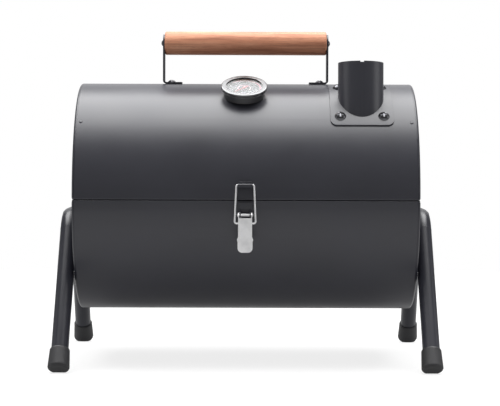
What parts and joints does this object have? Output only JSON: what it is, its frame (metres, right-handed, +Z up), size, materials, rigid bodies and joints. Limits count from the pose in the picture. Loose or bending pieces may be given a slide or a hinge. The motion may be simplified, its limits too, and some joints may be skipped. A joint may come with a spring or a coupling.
{
  "type": "barrel charcoal grill",
  "caption": "Portable barrel charcoal grill: split steel drum on bent-tube legs, hinged lid with wooden handle, dial thermometer, chimney and front toggle latch.",
  "frame": {"origin": "on the floor, below the middle of the drum", "axes": "+X along the drum to the chimney's end, -Y is the front with the latch, +Z up"},
  "size_m": [0.4292, 0.3244, 0.3775],
  "materials": {
    "black_paint": "satin heat-proof paint, dark anthracite",
    "rubber_feet": "matt moulded rubber",
    "dark_fasteners": "black-plated steel",
    "bright_zinc": "bright zinc plate",
    "bezel_chrome": "polished",
    "probe_steel": "plain stainless steel",
    "dial_face": "printed light grey dial",
    "lens_glass": "clear",
    "needle_red": "painted red",
    "case_black": "black",
    "wood_grip": "oiled reddish-brown hardwood",
    "grate_wire": "chromed wire"
  },
  "bodies": {
    "base": {"tub_shell": "black_paint", "tub_end_left": "black_paint", "tub_end_right": "black_paint", "grate_ledges": "black_paint", "leg_frame_left": "black_paint", "leg_frame_right": "black_paint", "leg_bolts": "dark_fasteners", "leg_nuts": "dark_fasteners", "foot_front_left": "rubber_feet", "foot_front_right": "rubber_feet", "foot_rear_left": "rubber_feet", "foot_rear_right": "rubber_feet", "latch_base": "black_paint", "latch_base_rivets": "bright_zinc", "latch_pivot_pin": "bright_zinc", "tub_hinge_leaf_left": "black_paint", "tub_hinge_leaf_right": "black_paint", "tub_hinge_rivets": "dark_fasteners", "hinge_pins": "dark_fasteners"},
    "lid": {"lid_shell": "black_paint", "lid_end_left": "black_paint", "lid_end_right": "black_paint", "lid_hinge_leaf_left": "black_paint", "lid_hinge_leaf_right": "black_paint", "lid_hinge_rivets": "dark_fasteners", "handle_bracket_left": "black_paint", "handle_bracket_right": "black_paint", "handle_grip": "wood_grip", "handle_screws": "dark_fasteners", "handle_bolts": "dark_fasteners", "handle_nuts": "dark_fasteners", "thermometer_case": "case_black", "thermometer_dial": "dial_face", "thermometer_bezel": "bezel_chrome", "thermometer_lens": "lens_glass", "thermometer_probe": "probe_steel", "thermometer_nut": "probe_steel", "chimney_pipe": "black_paint", "chimney_saddle": "black_paint", "chimney_screws": "dark_fasteners", "chimney_nuts": "dark_fasteners", "latch_keeper": "black_paint"},
    "latch_lever": {"latch_lever": "bright_zinc"},
    "latch_bail": {"latch_bail": "bright_zinc"},
    "needle": {"thermometer_needle": "needle_red"},
    "cooking_grate": {"cooking_grate": "grate_wire"},
    "charcoal_grate": {"charcoal_grate": "grate_wire"}
  },
  "joints": [
    {"name": "lid_hinge", "type": "hinge", "parent": "base", "child": "lid", "pos_m": [0, 0.1336, 0.187], "axis": [-1, 0, 0], "range_deg": [0, 105]},
    {"name": "latch_lever_pivot", "type": "hinge", "parent": "base", "child": "latch_lever", "pos_m": [-0.001, -0.1365, 0.1712], "axis": [-1, 0, 0], "range_deg": [0, 150]},
    {"name": "latch_bail_pivot", "type": "hinge", "parent": "latch_lever", "child": "latch_bail", "pos_m": [-0.001, -0.1365, 0.1621], "axis": [-1, 0, 0], "range_deg": [-162, 0]},
    {"name": "needle_turn", "type": "hinge", "parent": "lid", "child": "needle", "pos_m": [-0.0025, -0.06301, 0.31067], "axis": [0, 0.454, -0.891], "range_deg": [0, 270]},
    {"name": "cooking_grate_lift", "type": "slide", "parent": "base", "child": "cooking_grate", "axis": [0, 0, 1], "range_m": [0, 0.045]},
    {"name": "charcoal_grate_lift", "type": "slide", "parent": "base", "child": "charcoal_grate", "axis": [0, 0, 1], "range_m": [0, 0.03]}
  ],
  "couplings": [
    {"joint": "latch_bail_pivot", "follows": "latch_lever_pivot", "ratio": -1.08}
  ]
}
